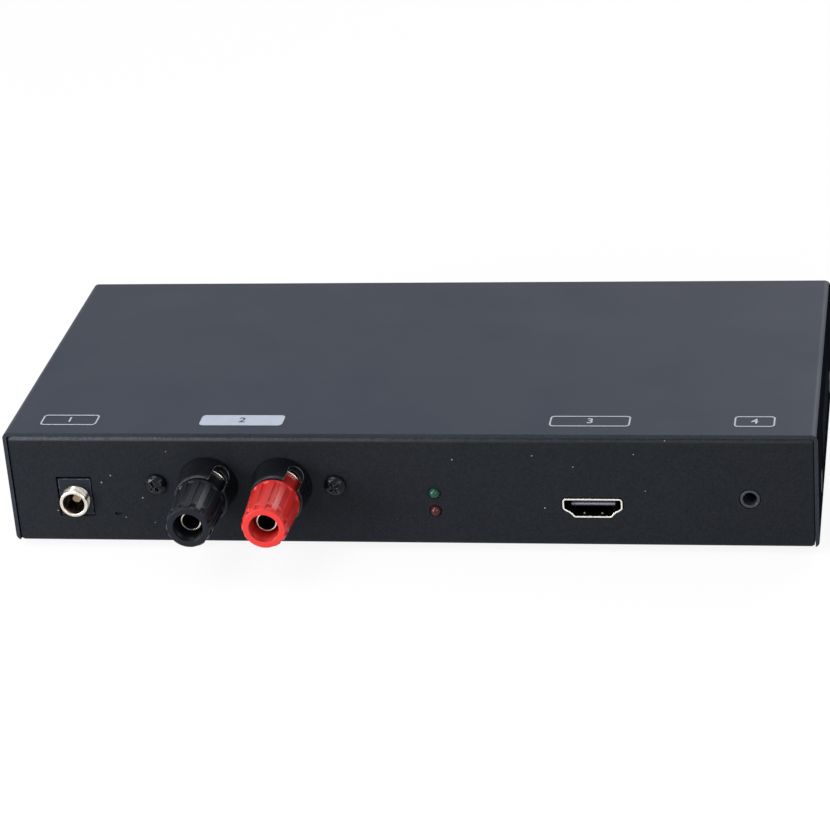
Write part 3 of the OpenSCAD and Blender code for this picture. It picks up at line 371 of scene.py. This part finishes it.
M = {
    # paint
    # the top behind the front lip is painted lighter and bluer, a painted reflection of the sheen;
    # the lip keeps the base colour
    "cover_paint": surface(
        "powder_coat_cover", (30, 33, 39), 0.48, **POWDER, edge=0.25, spec=0.22, tint=COOLEST,
        speckle=(2000, 0.3), wear_and_highlight=(0.2, (104, 108, 118), NO_METAL), dust=(400, 0.07, 0.03),
        painted_light_fade=(1, FRONT + 0.1, FRONT + 0.4, (33, 38, 51))),
    # painted shade: the cover's upright sides in a darker copy of its paint
    "shaded_side_paint": surface(
        "powder_coat_side_painted_shade", (16, 18, 22), 0.6, **POWDER, edge=0.25, spec=0.0,
        speckle=(2000, 0.3), wear_and_highlight=(0.2, (104, 108, 118), NO_METAL), dust=(400, 0.07, 0.03)),
    # tray_paint's bend colour is a painted highlight on the front panel's top bend
    "tray_paint": surface(
        "powder_coat_tray", (22, 24, 28), 0.46, **POWDER, edge=0.2, spec=0.1, tint=COOLER,
        speckle=(2000, 0.25), wear_and_highlight=(0.2, (92, 96, 106), NO_METAL), dust=(400, 0.07, 0.13),
        bend=(TOP_Z - 2.5, TOP_Z - 1.3, 0.05, (104, 108, 116))),
    # blackened steel and rubber
    # black_steel's lighter edges are a painted highlight on the rims of the cross recess
    "black_steel": surface(
        "black_oxide", (9, 10, 13), 0.14, 300, vary=0.15, edge=0.14, spec=0.18,
        tint=(0.85, 0.92, 1.0), grain=MACHINED_GRAIN, wear_and_highlight=(0.9, (165, 170, 180), NO_METAL)),
    "black_zinc": surface(
        "black_zinc", (24, 24, 28), 0.45, 300, vary=0.15, edge=0.1, spec=0.04,
        grain=MACHINED_GRAIN, wear_and_highlight=(0.4, (120, 124, 132), NO_METAL), streak=(300, 300, 2500, 0.3)),
    "foot_rubber": surface(
        "foot_rubber", (26, 26, 28), 0.85, 200, vary=0.12, edge=0.3, spec=0.3,
        grain=(1800, 0.3, 0.05), dust=(300, 0.06, 0.3)),
    # board, plated and turned metal, mouldings
    "board_green": surface(
        "solder_mask", (22, 84, 48), 0.32, 120, vary=0.18, edge=0.1, coat=0.4,
        grain=(900, 0.1, 0.02), speckle=(500, 0.12)),
    "zinc_steel": surface(
        "zinc_plate", (190, 192, 198), 0.3, 250, metal=1.0, edge=0.1,
        grain=MACHINED_GRAIN, streak=(200, 2500, 200, 0.4)),
    # black_plastic's lighter edges are painted highlight lines on the collars' rims and slot ends
    "black_plastic": surface(
        "black_moulding", (15, 16, 19), 0.3, 120, edge=0.26, spec=0.2, tint=COOL,
        grain=MOULDED_GRAIN, wear_and_highlight=(0.95, (140, 144, 155), NO_METAL), dust=(500, 0.07, 0.1)),
    "nickel": surface(
        "nickel_plate", (232, 225, 214), 0.2, 350, metal=1.0, vary=0.08, edge=0.08,
        grain=(3000, 0.08, 0.01), streak=(*TURNED, 0.35)),
    "bronze": surface(
        "spring_bronze", (196, 146, 96), 0.28, 400, metal=1.0, vary=0.12, edge=0.06,
        streak=(2500, 300, 2500, 0.3)),
    "white_plastic": surface(
        "white_moulding", (226, 222, 208), 0.42, 150, vary=0.04, edge=0.15,
        grain=(2000, 0.1, 0.02)),
    "brass": surface(
        "turned_brass", (206, 172, 98), 0.26, 300, metal=1.0, edge=0.08, streak=(*TURNED, 0.35)),
    "tinned_lug": surface(
        "tin_plate", (208, 209, 212), 0.32, 300, metal=1.0, vary=0.08, edge=0.06,
        grain=(1800, 0.12, 0.02), streak=(2500, 300, 300, 0.3)),
    "knob_black_plastic": surface(
        "knob_black_gloss", (19, 21, 26), 0.34, 150, rough_vary=0.03, edge=0.15, spec=0.17,
        tint=COOLER, grain=KNOB_GRAIN, dust=(500, 0.06, 0.06)),
    "knob_red_plastic": surface(
        "knob_red_gloss", (181, 38, 35), 0.34, 150, vary=0.05, rough_vary=0.03, edge=0.15,
        spec=0.3, grain=KNOB_GRAIN),
    "lead_black_skin": surface(
        "lead_black_skin", (26, 26, 27), 0.5, 200, grain=LEAD_GRAIN),
    "lead_red_skin": surface(
        "lead_red_skin", (186, 38, 34), 0.5, 200, vary=0.06, grain=LEAD_GRAIN),
    "lamp_green": surface(
        "lamp_green_epoxy", (14, 60, 48), 0.04, 500, vary=0.12, rough_vary=0.02, edge=0.05,
        spec=0.3),
    "lamp_red": surface(
        "lamp_red_epoxy", (58, 12, 18), 0.04, 500, vary=0.12, rough_vary=0.02, edge=0.05,
        spec=0.3),
    # video socket: the shell is painted darker inside, a painted shade in its recess, and the
    # moulding is painted paler above a height, a painted highlight on the tongue
    "socket_gold": surface(
        "socket_shell_plate", (250, 246, 236), 0.24, 300, metal=1.0, vary=0.05, edge=0.08,
        grain=(2500, 0.08, 0.01), streak=(300, 2500, 2500, 0.15),
        painted_light_fade=(1, PANEL - 0.15, PANEL + 0.2, (74, 70, 62))),
    # the paler tone above a height is a painted highlight on the tongue
    "socket_grey": surface(
        "socket_moulding", (13, 15, 20), 0.4, 250, vary=0.06, edge=0.08, spec=0.2,
        grain=(2400, 0.1, 0.02), painted_light_fade=(2, BOARD_TOP + 3.1, BOARD_TOP + 3.3, (118, 121, 132))),
    # contact_gold is darkened gold: painted shade on the contacts inside the socket
    "contact_gold": surface(
        "contact_gold", (120, 98, 54), 0.3, 500, metal=1.0, vary=0.06, edge=0.03,
        streak=(4000, 300, 300, 0.2)),
    # parts on the board
    "chip_epoxy": surface(
        "chip_epoxy", (34, 34, 36), 0.6, 300, vary=0.12, edge=0.1, grain=(2200, 0.2, 0.03)),
    "pad_blue": surface(
        "thermal_pad", (150, 164, 186), 0.7, 300, vary=0.06, grain=(1500, 0.2, 0.04)),
    "anodised": surface(
        "black_anodised", (36, 36, 40), 0.38, 250, metal=0.6, edge=0.1,
        wear_and_highlight=(0.5, (150, 150, 155), 0.9), streak=(*TURNED, 0.3)),
    "can_metal": surface(
        "drawn_can", (196, 198, 203), 0.3, 300, metal=1.0, vary=0.07, edge=0.15,
        grain=(1500, 0.1, 0.02), streak=(3000, 300, 300, 0.2)),
    "ferrite": surface(
        "ferrite", (52, 48, 46), 0.62, 400, vary=0.18, edge=0.15, grain=(1500, 0.35, 0.05)),
    "cap_sleeve": surface(
        "capacitor_sleeve", (30, 36, 48), 0.3, 200, vary=0.08, edge=0.15, coat=0.3),
    # single pieces with a look of their own
    "jack_plastic": surface(
        "jack_moulding", (44, 46, 53), 0.3, 200, edge=0.35, spec=0.35, grain=MOULDED_GRAIN,
        wear_and_highlight=(0.3, (96, 98, 106), NO_METAL)),
    # dc_plastic's lighter edges are painted glints on the power jack body's corners
    "dc_plastic": surface(
        "power_jack_moulding", (22, 26, 33), 0.34, 150, edge=0.3, spec=0.2, tint=COOL,
        grain=MOULDED_GRAIN, wear_and_highlight=(0.8, (128, 132, 140), NO_METAL)),
    "ring_plate": surface(
        "ring_plate", (250, 244, 234), 0.16, 350, metal=1.0, vary=0.04, edge=0.35),
    "pin_brass": surface(
        "turned_pin", (150, 132, 108), 0.32, 500, metal=1.0, edge=0.3, streak=(*TURNED, 0.3)),
    # bore_shade is painted shade for the inside of the plug's bore
    "bore_shade": surface(
        "drilled_bore_painted_shade", (34, 32, 30), 0.55, 400, metal=0.8, vary=0.2, edge=0.05,
        streak=(*TURNED, 0.4)),
    # ink
    "print_white": surface(
        "print_white", (162, 170, 186), 0.5, 300, vary=0.05, edge=0.02, grain=PRINT_GRAIN),
    "print_black": surface(
        "print_black", (12, 12, 14), 0.5, 300, edge=0.02, grain=PRINT_GRAIN),
}

# Every node takes its slot's material, except these
OWN_LOOK = {
    "cover_screws": "black_zinc",
    "ir_jack_body": "jack_plastic",
    "dc_jack_body": "dc_plastic",
    "dc_jack_pin": "pin_brass",
    "clamp_ring_black": "ring_plate",
    "clamp_ring_red": "ring_plate",
    "video_contacts": "contact_gold",
}
slots = {s["node"]: s["material_slot"] for s in frame["record"]["subparts"]}
for node, ob in frame["nodes"].items():
    ob.data.materials.clear()
    ob.data.materials.append(M[OWN_LOOK.get(node, slots[node])])

# The upright sides of the cover are duller than its top, and painted darker: painted shade on the
# sides
SIDE_FACING = 0.75
cover = frame["nodes"]["top_cover"]
cover.data.materials.append(M["shaded_side_paint"])
for face in cover.data.polygons:
    if abs(face.normal.x) > SIDE_FACING:
        face.material_index = 1


# ---- knobs: grooves and front notches are worked into one turned skin

# Along the axis, s from the panel
KNOB_REAR, SHOULDER, FLANGE, KNOB_FACE = 2.4, 9.2, 21.0, 23.4
NOTCH = 20.9
SEAT = (7.6, 15.2)              # of the brass insert
# Radii
BOSS_R, RIB_R, RIB_TAPER, BORE_R, SEAT_R, THROAT_R = 5.05, 6.3, 0.55, 3.7, 4.2, 2.9
GROOVE_DEPTH, NOTCH_R = 0.45, 5.28
SKIN_R, SKIN_START, FACE_R = 5.2, 9.9, 4.75     # what is worked lies outside or in front of these
# Where a groove or notch starts, and where it has its full depth or none again
GROOVE_START, GROOVE_END, NOTCH_START = (10.08, 10.34), (19.78, 20.04), (20.93, 21.08)
GROOVE_SIDE, NOTCH_SIDE = (0.6, 0.78), (0.58, 0.78)
# Round the axis, in mm at radius ROUND_R from a groove's middle: close where its sides rise
GROOVES, ROUND_R = 12, 6.0
GROOVE_STEP = 2 * math.pi / GROOVES
ACROSS = [-.86, -.78, -.74, -.69, -.64, -.6, -.5, -.25, 0, .25, .5, .6, .64, .69, .74, .78, .86,
          1.05, 1.31, 1.57, 1.83, 2.09]
KNOB_THETAS = [GROOVE_STEP * (k + 0.5) + o / ROUND_R for k in range(GROOVES) for o in ACROSS]
# Along the ribs: close where the grooves and notches start and end
ALONG = [9.85, 10.02, 10.1, 10.16, 10.22, 10.3, 10.42, 10.6, 11, 12, 13, 14, 15, 16, 17, 18, 19,
         19.5, 19.7, 19.82, 19.9, 19.96, 20.02, 20.1, 20.3, 20.6, 20.88, 20.94, 20.98, 21.02, 21.08,
         21.2]


def groove_offset(th):
    """Distance from the nearest groove's middle, in mm at ROUND_R."""
    k = th / GROOVE_STEP - 0.5
    return abs((k - round(k)) * GROOVE_STEP) * ROUND_R


def rib_radius(s):
    start = SHOULDER + 0.5
    return RIB_R - (min(s, FLANGE) - start) * RIB_TAPER / (FLANGE - start)


def knob_rows():
    # boss, shoulder and ribs
    rows = [(KNOB_REAR, THROAT_R), (KNOB_REAR, 4.8)]
    rows += arc(KNOB_REAR + 0.2, BOSS_R - 0.2, 0.2, 180, 90, 3)
    rows += [(s, BOSS_R) for s in span(3, SHOULDER - 0.2, 10)]
    rows += arc(SHOULDER - 0.2, BOSS_R + 0.2, 0.2, 270, 360, 3)
    rows += [(SHOULDER, 5.6)] + arc(SHOULDER + 0.45, RIB_R - 0.45, 0.45, 180, 95, 6)
    rows += [(s, rib_radius(s)) for s in ALONG]
    # front flange, its bevel and the face
    rows += [(21.6, 5.75), (22.0, 5.75)] + arc(22.05, 5.6, 0.15, 90, 38, 3)
    rows += [(22.5 + 0.75 * t, 5.71 - 0.46 * t) for t in (0, 0.25, 0.5, 0.75)]
    rows += arc(KNOB_FACE - 0.18, 5.1, 0.18, 55, 0, 4)
    rows += [(KNOB_FACE, 4.7), (KNOB_FACE, 4.2)]
    # plug bore, throat and the insert's seat
    rows += arc(KNOB_FACE - 0.2, BORE_R + 0.2, 0.2, 0, -90, 4)
    rows += [(s, BORE_R) for s in span(22.6, 16.4, 8)]
    rows += [(16.25, 3.65), (16.2, 3.5), (16.2, 2.95), (16.15, THROAT_R)]
    rows += [(SEAT[1], THROAT_R), (SEAT[1], SEAT_R), (SEAT[0], SEAT_R), (SEAT[0], THROAT_R)]
    return rows


def knob_shape(s, r, th):
    in_front = s > NOTCH and r > FACE_R
    if (r < SKIN_R or s < SKIN_START) and not in_front:
        return s, r
    o = groove_offset(th)
    in_groove = smooth_step(*GROOVE_START, s) * (1 - smooth_step(*GROOVE_END, s))
    r -= GROOVE_DEPTH * in_groove * (1 - smooth_step(*GROOVE_SIDE, o))
    if s > NOTCH:
        cut = smooth_step(*NOTCH_START, s) * (1 - smooth_step(*NOTCH_SIDE, o))
        r += (min(r, NOTCH_R) - r) * cut
    return s, r


for colour, x in POSTS.items():
    bm = lathe_mesh(knob_rows(), KNOB_THETAS, on_panel(x, POST_Z), knob_shape)
    ob = finish_mesh("knob_" + colour + "_moulding", bm, M["knob_" + colour + "_plastic"],
                     colour + "_knob", 42)
    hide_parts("knob_" + colour)


# ---- threaded stems

STEM_R, STEM_PITCH, STEM_CUT = 2.65, 0.8, 0.34          # front thread, for the knob
SHANK_R, SHANK_PITCH, SHANK_CUT = 1.95, 0.7, 0.28       # rear thread, for the nuts
STEM_THREAD, STEM_END, SHANK_END = (4.8, 19.5), 19.8, -12.5
PLUG_R, PLUG_FLOOR = 2.0, 5.8
WIRE_HOLE_R, WIRE_HOLE_S, WIRE_HOLE_L = 1.2, 3.4, 9


def stem_rows():
    rows = [(SHANK_END, 0.0), (SHANK_END, 1.7)]
    rows += [(s, SHANK_R) for s in span(SHANK_END + 0.2, 0.9, 90)]
    # collar on the block, then the threaded front
    rows += [(0.9, 4.3), (1.0, 4.4), (1.6, 4.4), (1.7, 4.3), (1.7, 2.62), (1.9, 2.62)]
    rows += [(s, STEM_R) for s in span(*STEM_THREAD, 118)]
    # rounded mouth and the plug's bore
    rows += [(19.62, 2.62), (19.72, 2.58), (STEM_END, 2.52), (STEM_END, 2.24)]
    rows += [(19.7, 2.14), (19.3, 2.04), (19.0, PLUG_R)]
    rows += [(s, PLUG_R) for s in span(18.4, 6.0, 6)]
    rows += [(PLUG_FLOOR + 0.1, 1.95), (PLUG_FLOOR, 0.0)]
    return rows


def stem_shape(s, r, th):
    if r == STEM_R:
        first, last = STEM_THREAD
        run_out = smooth_step(first, first + 0.6, s) * (1 - 0.3 * smooth_step(last - 0.4, last, s))
        r -= STEM_CUT * thread_cut(s, th, STEM_PITCH) * run_out
    elif r == SHANK_R and s < -1:
        r -= SHANK_CUT * thread_cut(s, th, SHANK_PITCH)
    return s, r


def wire_hole(x):
    """Drill for the hole through a stem, at the angle of its collar's slot."""
    bm = bmesh.new()
    bmesh.ops.create_cone(bm, cap_ends=True, segments=48, radius1=WIRE_HOLE_R * MM,
                          radius2=WIRE_HOLE_R * MM, depth=WIRE_HOLE_L * MM)
    aim = Vector((math.cos(SLOT_ANGLE), 0, math.sin(SLOT_ANGLE)))
    bmesh.ops.transform(bm, verts=bm.verts,
                        matrix=Matrix.Translation(on_panel(x, POST_Z)(0, 0, WIRE_HOLE_S))
                        @ aim.to_track_quat("Z", "Y").to_matrix().to_4x4())
    return add_object("hole", mesh_of("hole", bm))


for colour, x in POSTS.items():
    bm = lathe_mesh(stem_rows(), even(72), on_panel(x, POST_Z), stem_shape, closed=False)
    ob = finish_mesh("stem_" + colour + "_turned", bm, M["nickel"], ROOT, 40)
    cutter = wire_hole(x)
    mod = ob.modifiers.new("wire_hole", "BOOLEAN")
    mod.operation = "DIFFERENCE"
    mod.solver = "EXACT"
    mod.object = cutter
    dg = bpy.context.evaluated_depsgraph_get()
    drilled = bpy.data.meshes.new_from_object(ob.evaluated_get(dg))
    ob.modifiers.clear()
    ob.data = drilled
    bpy.data.objects.remove(cutter)
    # The plug's bore is painted darker than the plated outside: painted shade inside the bore
    ob.data.materials.append(M["bore_shade"])
    for face in ob.data.polygons:
        at = face.center / MM
        in_bore = math.hypot(at.x - x, at.z - POST_Z) < PLUG_R + 0.2
        if in_bore and PANEL - at.y > PLUG_FLOOR - 0.1:
            face.material_index = 1
    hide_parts("stem_" + colour)


# ---- pan-head screws with a cross recess

HEAD_R, HEAD_H, DOME = 2.75, 1.9, 1.15
SCREW_R, SCREW_L, SCREW_PITCH, SCREW_CUT = 1.45, 8, 0.5, 0.2
CROSS_TURN, CROSS_DEPTH = math.radians(38), 1.1
CROSS_HALF, CROSS_REACH = HEAD_R * 0.135, HEAD_R * 0.62     # half width and length of its arms


def cross_depth(u, v):
    c, s = math.cos(CROSS_TURN), math.sin(CROSS_TURN)
    a, b = c * u + s * v, -s * u + c * v
    deepest = 0.0
    for p, q in ((a, b), (b, a)):
        arm = 1 - smooth_step(CROSS_HALF * 0.8, CROSS_HALF * 1.25, abs(q))
        arm *= 1 - smooth_step(CROSS_REACH * 0.86, CROSS_REACH, abs(p))
        deepest = max(deepest, arm * (1 - 0.45 * min(abs(p) / CROSS_REACH, 1)))
    return CROSS_DEPTH * deepest


def screw_rows():
    rows = [(-SCREW_L, 0.0), (-SCREW_L + 0.3, SCREW_R * 0.7)]
    rows += [(s, SCREW_R) for s in span(-SCREW_L + 0.7, -0.3, 40)]
    rows += [(0, SCREW_R), (0, HEAD_R - 0.1)] + arc(0.1, HEAD_R - 0.1, 0.1, 180, 90, 2)
    edge = HEAD_H - DOME
    rows += [(edge * 0.6, HEAD_R)]
    radii = [HEAD_R * t for t in (0.995, 0.985, 0.97, 0.95, 0.92, 0.89, 0.85, 0.81, 0.77, 0.73)]
    radii += span(HEAD_R * 0.71, 0.0, 34)
    rows += [(edge + DOME * (1 - (r / HEAD_R) ** 2.4) ** 0.8, r) for r in radii]
    return rows


def screw_shape(s, r, th):
    if s > 0.6 * HEAD_H and r < HEAD_R * 0.9:
        s -= cross_depth(r * math.cos(th), r * math.sin(th))
    elif r == SCREW_R and s < -1.5:
        r -= SCREW_CUT * thread_cut(s, th, SCREW_PITCH)
    return s, r


both = bmesh.new()
for side in (-1, 1):
    place = on_panel(TERMINAL_X + side * TERMINAL_SCREW_OFF, POST_Z)
    me = mesh_of("tmp", lathe_mesh(screw_rows(), even(120), place, screw_shape, closed=False))
    both.from_mesh(me)
    bpy.data.meshes.remove(me)
ob = finish_mesh("terminal_screws_recessed", both, M["black_steel"], ROOT, 38)
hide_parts("terminal_screws")


# ---- power jack barrel with its fine outside thread

BARREL_R, BARREL_PITCH, BARREL_CUT = 3.75, 0.5, 0.17
BARREL_BORE_R, BARREL_REAR = 2.8, -8.3


def barrel_rows():
    rows = [(BARREL_REAR, BARREL_BORE_R), (BARREL_REAR, 3.7)]
    rows += [(s, BARREL_R) for s in span(BARREL_REAR + 0.2, 2.2, 130)]
    # rounded mouth
    rows += [(2.4, 3.7), (2.54, 3.6), (2.66, 3.48), (2.7, 3.38), (2.7, 3.02), (2.67, 2.9)]
    rows += [(2.58, 2.82)]
    rows += [(s, BARREL_BORE_R) for s in span(2.3, BARREL_REAR + 0.2, 10)]
    return rows


def barrel_shape(s, r, th):
    if r == BARREL_R:
        r -= BARREL_CUT * thread_cut(s, th, BARREL_PITCH, slope=1.15, crest=0.05)
    return s, r


bm = lathe_mesh(barrel_rows(), even(96), on_panel(DC_JACK_X, DC_JACK_Z), barrel_shape)
ob = finish_mesh("dc_jack_barrel_threaded", bm, M["nickel"], ROOT, 40)
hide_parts("dc_jack_barrel")


# ---- printed frames and plain numbers on the cover

LABEL_Y0, LABEL_Y1 = FRONT + 4.4, FRONT + 10.6
LABELS = [("1", -93.6, -78.5, False), ("2", -52.3, -30.5, True),    # number, x from, x to, filled
          ("3", 36.0, 56.4, False), ("4", 81.3, 91.7, False)]
# How far each layer of ink stands above the paint
EDGE_INK, FRAME_INK, NUMBER_INK = 0.03, 0.05, 0.06
NUMBER_SIZE, NUMBER_HALF_INK, NUMBER_BOLD = 3.7, 0.008, 0.05


def rounded(x0, x1, inset, r):
    """A label's outline with round corners, inset from its edge."""
    n = 8
    x0, x1, y0, y1 = x0 + inset, x1 - inset, LABEL_Y0 + inset, LABEL_Y1 - inset
    pts = []
    for cx, cy, a0 in ((x1 - r, y1 - r, 0), (x0 + r, y1 - r, 90),
                       (x0 + r, y0 + r, 180), (x1 - r, y0 + r, 270)):
        for i in range(n + 1):
            a = math.radians(a0 + 90 * i / n)
            pts.append((cx + r * math.cos(a), cy + r * math.sin(a)))
    return pts


def flat_print(name, outer, inner, ink, mat):
    """A printed area: outer loop less inner loop, one thin layer of ink."""
    bm = bmesh.new()
    rings = []
    for loop in (outer, inner) if inner else (outer,):
        rings.append([[bm.verts.new((px * MM, py * MM, z * MM)) for px, py in loop]
                      for z in (TOP_Z + ink, TOP_Z)])
    n = len(outer)
    if inner:
        (out_top, out_low), (in_top, in_low) = rings
        for k in range(n):
            j = (k + 1) % n
            bm.faces.new((out_top[k], out_top[j], in_top[j], in_top[k]))
            bm.faces.new((out_low[j], out_low[k], in_low[k], in_low[j]))
            bm.faces.new((out_low[k], out_low[j], out_top[j], out_top[k]))
            bm.faces.new((in_top[k], in_top[j], in_low[j], in_low[k]))
    else:
        top, low = rings[0]
        bm.faces.new(top)
        bm.faces.new(list(reversed(low)))
        for k in range(n):
            j = (k + 1) % n
            bm.faces.new((low[k], low[j], top[j], top[k]))
    finish_mesh(name, bm, mat, ROOT, 30)


def number_print(number, x, y, mat):
    cu = bpy.data.curves.new("number_" + number, "FONT")
    cu.body = number
    cu.align_x = cu.align_y = "CENTER"
    cu.size = NUMBER_SIZE * MM
    cu.extrude = NUMBER_HALF_INK * MM
    cu.offset = NUMBER_BOLD * MM
    text = add_object("tmp", cu)
    dg = bpy.context.evaluated_depsgraph_get()
    me = bpy.data.meshes.new_from_object(text.evaluated_get(dg))
    bpy.data.objects.remove(text)
    me.transform(Matrix.Translation((x * MM, y * MM, (TOP_Z + NUMBER_INK) * MM)))
    me.materials.clear()
    me.materials.append(mat)
    ob = add_object("number_" + number, me)
    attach(ob, ROOT)


for number, x0, x1, filled in LABELS:
    flat_print("frame_edge_" + number, rounded(x0, x1, 0, 1.3), rounded(x0, x1, 0.9, 0.5),
               EDGE_INK, M["print_black"])
    flat_print("frame_" + number, rounded(x0, x1, 0.25, 1.1),
               None if filled else rounded(x0, x1, 0.62, 0.75), FRAME_INK, M["print_white"])
    number_print(number, (x0 + x1) / 2, (LABEL_Y0 + LABEL_Y1) / 2,
                 M["print_black" if filled else "print_white"])


# ---- floor and world

FLOOR_HALF, FLOOR_DROP = 6, 0.0001
FLOOR_GREY, FLOOR_WHITE = 0.9, 0.88     # its own colour, and its share of plain white as seen
WORLD_LIGHT, WORLD_SEEN = 0.54, 1.0
WHITE = (1, 1, 1, 1)


def seen_rays(nt):
    """1 for the rays that see the white background: camera, glossy and transmission."""
    path = nt.nodes.new("ShaderNodeLightPath")
    both = math_node(nt, "MAXIMUM", path.outputs["Is Camera Ray"], path.outputs["Is Glossy Ray"])
    return math_node(nt, "MAXIMUM", both, path.outputs["Is Transmission Ray"])


bm = bmesh.new()
bmesh.ops.create_grid(bm, x_segments=1, y_segments=1, size=FLOOR_HALF)
floor = add_object("floor", mesh_of("floor", bm))
floor.location.z = -FLOOR_DROP
mat = bpy.data.materials.new("floor")
mat.use_nodes = True
nt = mat.node_tree
nt.nodes.clear()
out = nt.nodes.new("ShaderNodeOutputMaterial")
mix = nt.nodes.new("ShaderNodeMixShader")
own = new_node(nt, "ShaderNodeBsdfDiffuse", Color=(FLOOR_GREY, FLOOR_GREY, FLOOR_GREY, 1))
white = new_node(nt, "ShaderNodeEmission", Color=WHITE, Strength=1.0)
link(nt, math_node(nt, "MULTIPLY", seen_rays(nt), FLOOR_WHITE), mix.inputs[0])
link(nt, own.outputs[0], mix.inputs[1])
link(nt, white.outputs[0], mix.inputs[2])
link(nt, mix.outputs[0], out.inputs[0])
floor.data.materials.append(mat)

world = bpy.data.worlds.new("studio")
bpy.context.scene.world = world
world.use_nodes = True
nt = world.node_tree
nt.nodes.clear()
out = nt.nodes.new("ShaderNodeOutputWorld")
bg = new_node(nt, "ShaderNodeBackground", Color=WHITE)
link(nt, ramp(nt, seen_rays(nt), 0, 1, WORLD_LIGHT, WORLD_SEEN), bg.inputs["Strength"])
link(nt, bg.outputs[0], out.inputs[0])


# ---- lamps and camera, in metres

LAMPS = [   # name, place, what it aims at, size, watts
    ("overhead_front", (-0.4, -0.6, 1.1), (-0.02, 0, 0), (0.8, 0.5), 6.5),
    ("rear_right", (0.45, 0.9, 0.7), (0.05, 0, 0), (0.6, 0.5), 4),
    ("front_left_low", (-0.4, -0.35, 0.12), (-0.06, -0.03, 0.02), (0.24, 0.2), 2.65),
    ("front_right_fill", (0.3, -0.5, 0.2), (-0.03, -0.04, 0.02), (0.3, 0.2), 0.65),
    ("front_left_high", (-0.25, -0.42, 0.3), (-0.09, -0.035, 0.03), (0.14, 0.1), 0.35),
]
CAMERA_AT = (0.13036, -0.68879, 0.35884)
YAW, PITCH, ROLL = math.radians(-10.93), math.radians(25.71), math.radians(-4.66)
SENSOR, LENS = 36, 130.766      # mm
CLIP = (0.01, 50)

for name, at, aim, size, watts in LAMPS:
    light = bpy.data.lights.new(name, "AREA")
    light.shape = "RECTANGLE"
    light.size, light.size_y = size
    light.energy = watts
    ob = add_object(name, light)
    ob.location = at
    ob.rotation_mode = "QUATERNION"
    ob.rotation_quaternion = (Vector(aim) - Vector(at)).to_track_quat("-Z", "Y")

view = bpy.data.cameras.new("camera")
view.sensor_width = SENSOR
view.lens = LENS
view.clip_start, view.clip_end = CLIP
camera = add_object("camera", view)
forward = Vector((math.sin(YAW) * math.cos(PITCH), math.cos(YAW) * math.cos(PITCH),
                  -math.sin(PITCH)))
level = Vector((math.cos(YAW), -math.sin(YAW), 0))
upward = level.cross(forward)
right = math.cos(ROLL) * level + math.sin(ROLL) * upward
up = -math.sin(ROLL) * level + math.cos(ROLL) * upward
pose = Matrix((right, up, -forward)).transposed().to_4x4()
pose.translation = Vector(CAMERA_AT)
camera.matrix_world = pose
bpy.context.scene.camera = camera

bpy.context.scene.view_settings.view_transform = "Standard"
